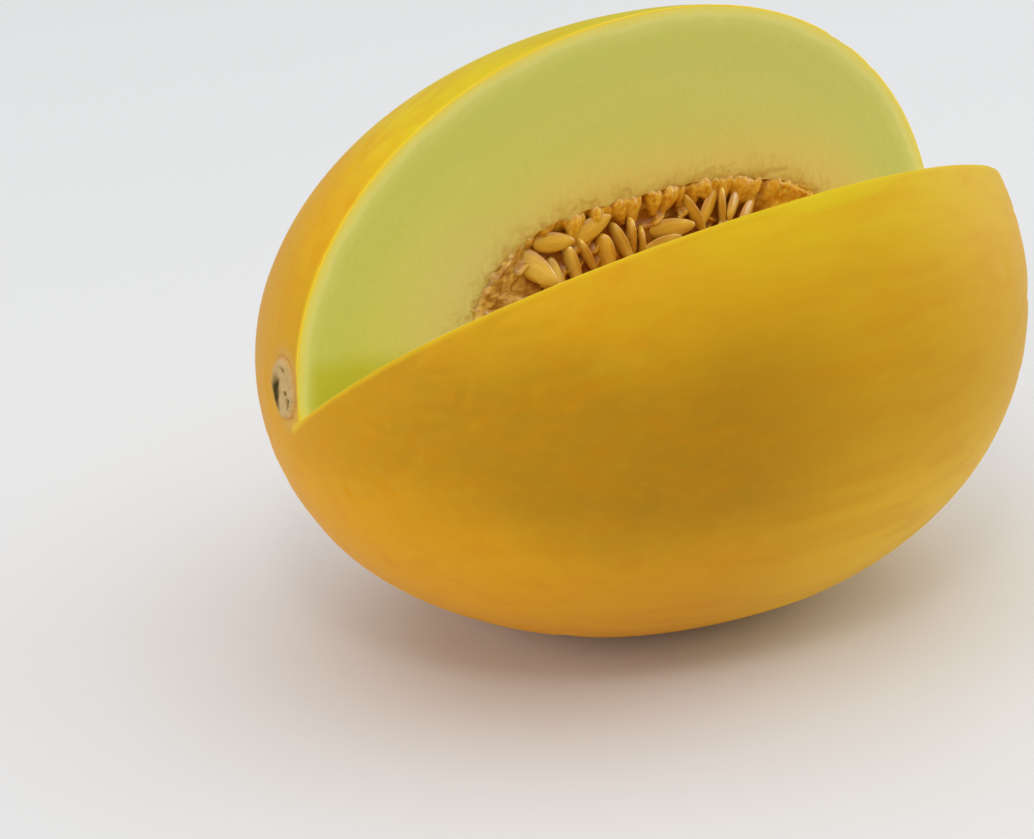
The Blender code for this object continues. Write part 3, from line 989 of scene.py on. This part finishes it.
def flesh_colour(shader, wander):
    """The colour from the pale rim to the warm middle, and the share of blotches over it."""
    depth = shader.attribute("rind_depth")
    from_wall = shader.attribute("cavity_distance")
    x = shader.split(shader.place)[0]
    bands = shader.ramp(
        shader.fit(shader.math("MULTIPLY_ADD", wander, 0.5, depth), 0, 30),
        (0.0, colour(240, 222, 104)), (0.02, colour(234, 227, 134)),
        (0.05, colour(222, 219, 116)), (0.13, colour(215, 214, 106)),
        (0.22, colour(215, 214, 107)), (0.4, colour(216, 214, 108)), (0.8, colour(222, 216, 114)))
    end_reach = shader.fit(x, -0.07, -0.035, 10.0, 0.0)
    stain = shader.math("SUBTRACT", shader.math("MULTIPLY_ADD", wander, 1.1, from_wall), end_reach)
    warm = shader.mix(shader.fit(x, -0.055, -0.010), colour(229, 215, 134), colour(241, 213, 118))
    warmed = shader.mix(shader.fit(stain, 1, 20, 0.95, 0.0), bands, warm)
    browned = shader.mix(shader.fit(from_wall, 0.0, 2.6, 0.35, 0.0), warmed, colour(238, 188, 84))
    blotches = shader.noise(2.6 * MM, 5, shader.stretch(shader.place, (0.5, 1, 1)), 0.6)
    past_end = shader.math("SUBTRACT", from_wall, shader.times(end_reach, 0.6))
    blotch_share = shader.times(shader.fit(blotches, 0.5, 0.68), shader.fit(past_end, 0, 7, 0.6, 0.0))
    return browned, blotch_share


def notch_tip_shadow(shader, wander):
    """How much painted shadow of the near half, with a green tint, lies in the narrow stem end of the
    notch.
    """
    x = shader.split(shader.place)[0]
    tip = shader.math("MULTIPLY_ADD", x, 150.0, shader.attribute("tip_distance"))
    in_shade = shader.times(shader.fit(shader.math("ADD", tip, wander), -5, 2, 0.75, 0.0),
                            shader.fit(x, -0.062, -0.045, 1.0, 0.0))
    return shader.times(in_shade, shader.fit(shader.attribute("rind_depth"), 2, 7))


def flesh_material():
    """Moist flesh: a thin yellow skin line, a pale rim, green flesh and a warm, fibrous middle."""
    shader = Shader("melon_flesh")
    fine = shader.noise(1.4 * MM, 4)
    wander = shader.times(shader.math("SUBTRACT", shader.noise(9 * MM, 4), 0.5), 5.0)
    plain, blotch_share = flesh_colour(shader, wander)
    strands = shader.noise(1.1 * MM, 5, shader.stretch(shader.place, (1, 0.35, 0.3)))
    fibre_share = shader.times(shader.fit(strands, 0.48, 0.66),
                               shader.fit(shader.attribute("cavity_distance"), 1, 11, 0.25, 0.0))
    fibred = shader.mix(fibre_share, plain, colour(214, 168, 84))
    blotched = shader.mix(blotch_share, fibred, colour(204, 150, 74))
    mottled = shader.mix(shader.fit(fine, 0.35, 0.75, 0, 0.09), blotched, colour(240, 240, 160))
    # Painted shadow: darker and greener flesh in the narrow stem end of the notch.
    tip_shadowed = shader.mix(notch_tip_shadow(shader, wander), mottled, colour(206, 198, 48))
    at_skin = shader.fit(shader.attribute("rind_depth"), 0.25, 0.8, 1, 0)
    skin_line = shader.mix(at_skin, tip_shadowed, colour(242, 204, 50))
    shader.set(Base_Color=skin_line, Roughness=0.42, Subsurface_Weight=0.35,
               Subsurface_Radius=(5 * MM, 4.2 * MM, 1.6 * MM), Subsurface_Scale=1.0,
               Specular_IOR_Level=0.28, Coat_Weight=0.08, Coat_Roughness=0.25)
    grain = shader.math("ADD", fine, shader.times(strands, 0.6))
    shader.set(Normal=shader.bump(grain, 0.12 * MM, 0.45))
    return shader.material


def pulp_material():
    """Wet amber pulp, brighter at the rim and darker with depth below the cuts, painted shade that is
    deep brown between the seeds.
    """
    shader = Shader("melon_pulp")
    clouds = shader.noise(4 * MM, 4)
    fine = shader.noise(1.2 * MM, 4)
    # Painted shade: the deep brown that the pulp takes further below the cuts, between the seeds.
    gap_shade = shader.mix(clouds, colour(116, 54, 3), colour(198, 116, 10))
    rim = shader.mix(shader.fit(fine, 0.35, 0.65), colour(222, 152, 22), colour(242, 192, 62))
    body = shader.mix(shader.fit(shader.attribute("pulp_depth"), 2.0, 4.8), rim, gap_shade)
    streaks = shader.noise(1.6 * MM, 4, shader.stretch(shader.place, (0.35, 1, 1)), 0.3)
    tan = shader.mix(shader.fit(streaks, 0.40, 0.62), colour(150, 96, 32), colour(234, 192, 106))
    at_stem = shader.fit(shader.split(shader.place)[0], -0.040, -0.026, 0.8, 0.0)
    stemmed = shader.mix(at_stem, body, tan)
    over_rim = shader.fit(shader.attribute("cavity_distance"), -1.0, 2.0, 0, 0.75)
    faded = shader.mix(over_rim, stemmed, colour(224, 180, 94))
    pale = shader.mix(shader.fit(clouds, 0.56, 0.72, 0, 0.4), faded, colour(240, 196, 92))
    shader.set(Base_Color=pale, Roughness=0.32, Subsurface_Weight=0.3,
               Subsurface_Radius=(2 * MM, 1.1 * MM, 0.2 * MM), Subsurface_Scale=1.0,
               Specular_IOR_Level=0.4, Coat_Weight=0.3, Coat_Roughness=0.12)
    shader.set(Normal=shader.bump(fine, 0.25 * MM, 0.7))
    return shader.material


def seed_material():
    """Smooth golden seeds under a wet film, each of its own tone, browner along the edge."""
    shader = Shader("melon_seed")
    tone = shader.attribute("seed_tone")
    along = shader.attribute("seed_along")
    across = shader.attribute("seed_across")
    grain = shader.noise(1.0, 3, shader.vector(shader.times(along, 3.0),
                                               shader.times(across, 14.0), tone))
    base = shader.mix(tone, colour(236, 182, 48), colour(252, 214, 94))
    ends = shader.mix(shader.fit(along, 0.72, 1.0, 0, 0.5), base, colour(212, 150, 40))
    rim = shader.fit(shader.math("ABSOLUTE", across), 0.26, 0.5, 0, 0.85)
    edged = shader.mix(rim, ends, colour(204, 138, 30))
    streaked = shader.mix(shader.fit(grain, 0.45, 0.65, 0, 0.34), edged, colour(216, 160, 58))
    shader.set(Base_Color=streaked, Roughness=0.28, Subsurface_Weight=0.25,
               Subsurface_Radius=(1.2 * MM, 0.9 * MM, 0.4 * MM), Subsurface_Scale=1.0,
               Coat_Weight=0.85, Coat_Roughness=0.10)
    shader.set(Normal=shader.bump(grain, 0.05 * MM, 0.5))
    return shader.material


def cork_material():
    """Dry tan cork, olive and nearly black where the crescent and the pits go down."""
    shader = Shader("scar_cork")
    dark = shader.attribute("scar_dark")
    clouds = shader.noise(2.2 * MM, 5)
    fine = shader.noise(0.5 * MM, 4)
    base = shader.mix(clouds, colour(176, 146, 88), colour(216, 184, 130))
    speckled = shader.mix(shader.fit(fine, 0.5, 0.75, 0, 0.4), base, colour(150, 122, 70))
    edge = shader.fit(shader.attribute("scar_share"), 0.72, 1.02, 0, 0.8)
    edged = shader.mix(edge, speckled, colour(212, 154, 60))
    shaded = shader.mix(shader.fit(dark, 0.03, 0.35, 0, 0.6), edged, colour(132, 108, 46))
    pitted = shader.mix(shader.fit(dark, 0.2, 0.8, 0, 0.95), shaded, colour(62, 50, 14))
    shader.set(Base_Color=pitted, Roughness=0.85, Specular_IOR_Level=0.2)
    shader.set(Normal=shader.bump(fine, 0.2 * MM, 0.8))
    return shader.material


def add_camera():
    data = bpy.data.cameras.new("camera")
    data.lens = CAMERA_LENS
    data.sensor_width = 36
    camera = bpy.data.objects.new("camera", data)
    camera.location = CAMERA_PLACE
    camera.rotation_euler = (math.pi / 2 - CAMERA_PITCH, 0, -CAMERA_YAW)
    bpy.context.scene.collection.objects.link(camera)
    bpy.context.scene.camera = camera


def add_light(name, place, target, size, power, tint=(1, 1, 1)):
    data = bpy.data.lights.new(name, "AREA")
    data.size = size
    data.energy = power
    data.color = tint
    lamp = bpy.data.objects.new(name, data)
    lamp.location = place
    lamp.rotation_euler = (Vector(place) - Vector(target)).to_track_quat("Z", "Y").to_euler()
    bpy.context.scene.collection.objects.link(lamp)


def add_studio():
    """A plain pale floor under a broad overhead softbox, with a softer one at each side."""
    scene = bpy.context.scene
    scene.view_settings.view_transform = "Standard"
    world = bpy.data.worlds.new("studio")
    world.use_nodes = True
    world.node_tree.nodes["Background"].inputs["Color"].default_value = (1, 1, 1, 1)
    world.node_tree.nodes["Background"].inputs["Strength"].default_value = 0.33
    scene.world = world
    add_light("overhead", (0.1, 0.0, 1.9), (0, 0, 0.08), 3.2, 33)
    add_light("left_side", (-1.7, -0.1, 0.6), (0, 0, 0.08), 1.2, 11)
    add_light("right_side", (1.7, -0.2, 0.6), (0, 0, 0.08), 1.2, 9)
    add_light("sparkle", (-0.6, -0.8, 1.3), (0, 0, 0.1), 0.25, 2)
    bpy.ops.mesh.primitive_plane_add(size=8, location=(0, 0, -0.0001))
    floor = bpy.context.object
    floor.name = "floor"
    shader = Shader("studio_floor")
    shader.set(Base_Color=(0.785, 0.795, 0.805, 1), Roughness=0.8, Specular_IOR_Level=0.2)
    floor.data.materials.append(shader.material)


def dress(piece, node, slot, *materials):
    """Gives a piece its materials, hides the node it replaces and hangs it on the root body."""
    for material in materials:
        piece.data.materials.append(material)
    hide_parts(node)
    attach(piece, "root")


def main():
    mesh = build_fruit()
    add_depths(mesh)
    fruit = show("melon_fruit", mesh, 40)
    dress(fruit, "melon_body", "rind_and_flesh", rind_material(), flesh_material())
    dress(show("stem_scar", build_scar()), "melon_body", "rind_and_flesh", cork_material())
    draw = random.Random(8)
    dress(show("pulp", build_pulp(draw)), "seed_cluster", "seeds_and_pulp", pulp_material())
    dress(show("seeds", build_seeds(draw)), "seed_cluster", "seeds_and_pulp", seed_material())
    add_camera()
    add_studio()


main()
